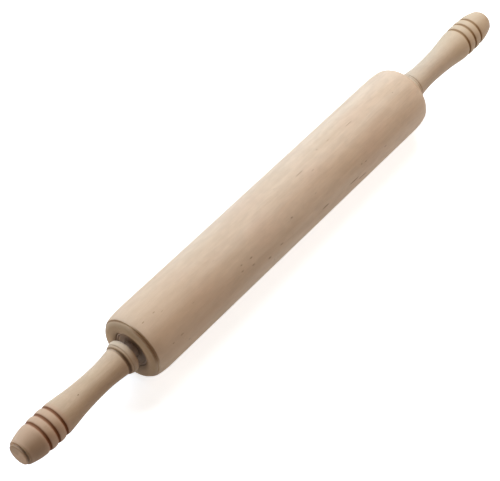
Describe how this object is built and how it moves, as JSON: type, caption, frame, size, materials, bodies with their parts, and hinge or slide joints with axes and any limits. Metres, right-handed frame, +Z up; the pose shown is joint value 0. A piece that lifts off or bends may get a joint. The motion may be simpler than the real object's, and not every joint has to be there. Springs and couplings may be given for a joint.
{
  "type": "rolling pin",
  "caption": "Wooden rolling pin: a beech roller that turns on ball bearings round a steel rod, with a turned handle at each end.",
  "frame": {"origin": "on the resting plane, under the middle of the roller", "axes": "+X along the pin from the left handle to the right one, +Z up from the surface that the roller lies on"},
  "size_m": [0.6418, 0.0632, 0.0632],
  "materials": {
    "beech": "sanded bare beech, satin",
    "pressed_steel": "pressed sheet steel, dull",
    "bearing_steel": "hardened and polished",
    "rod_steel": "bright drawn bar",
    "spring_steel": "blackened spring steel",
    "brass": "turned brass"
  },
  "bodies": {
    "roller": {"roller": "beech", "bearing_cup_left": "pressed_steel", "bearing_cup_right": "pressed_steel"},
    "axle": {"axle_rod": "rod_steel", "bearing_cone_left": "bearing_steel", "dust_shield_left": "pressed_steel", "thrust_washer_left": "bearing_steel", "retaining_ring_left": "spring_steel", "handle_insert_left": "brass", "handle_left": "beech", "bearing_cone_right": "bearing_steel", "dust_shield_right": "pressed_steel", "thrust_washer_right": "bearing_steel", "retaining_ring_right": "spring_steel", "handle_insert_right": "brass", "handle_right": "beech"},
    "cage_left": {"ball_cage_left": "pressed_steel", "bearing_ball_left_1": "bearing_steel", "bearing_ball_left_2": "bearing_steel", "bearing_ball_left_3": "bearing_steel", "bearing_ball_left_4": "bearing_steel", "bearing_ball_left_5": "bearing_steel", "bearing_ball_left_6": "bearing_steel", "bearing_ball_left_7": "bearing_steel", "bearing_ball_left_8": "bearing_steel"},
    "cage_right": {"ball_cage_right": "pressed_steel", "bearing_ball_right_1": "bearing_steel", "bearing_ball_right_2": "bearing_steel", "bearing_ball_right_3": "bearing_steel", "bearing_ball_right_4": "bearing_steel", "bearing_ball_right_5": "bearing_steel", "bearing_ball_right_6": "bearing_steel", "bearing_ball_right_7": "bearing_steel", "bearing_ball_right_8": "bearing_steel"}
  },
  "joints": [
    {"name": "handle_spin", "type": "hinge", "parent": "roller", "child": "axle", "pos_m": [0, 0, 0.0316], "axis": [1, 0, 0], "continuous": true},
    {"name": "cage_left_spin", "type": "hinge", "parent": "roller", "child": "cage_left", "pos_m": [-0.1816, 0, 0.0316], "axis": [1, 0, 0], "continuous": true},
    {"name": "cage_right_spin", "type": "hinge", "parent": "roller", "child": "cage_right", "pos_m": [0.1816, 0, 0.0316], "axis": [1, 0, 0], "continuous": true}
  ],
  "couplings": [
    {"joint": "cage_left_spin", "follows": "handle_spin", "ratio": 0.404},
    {"joint": "cage_right_spin", "follows": "handle_spin", "ratio": 0.404}
  ]
}
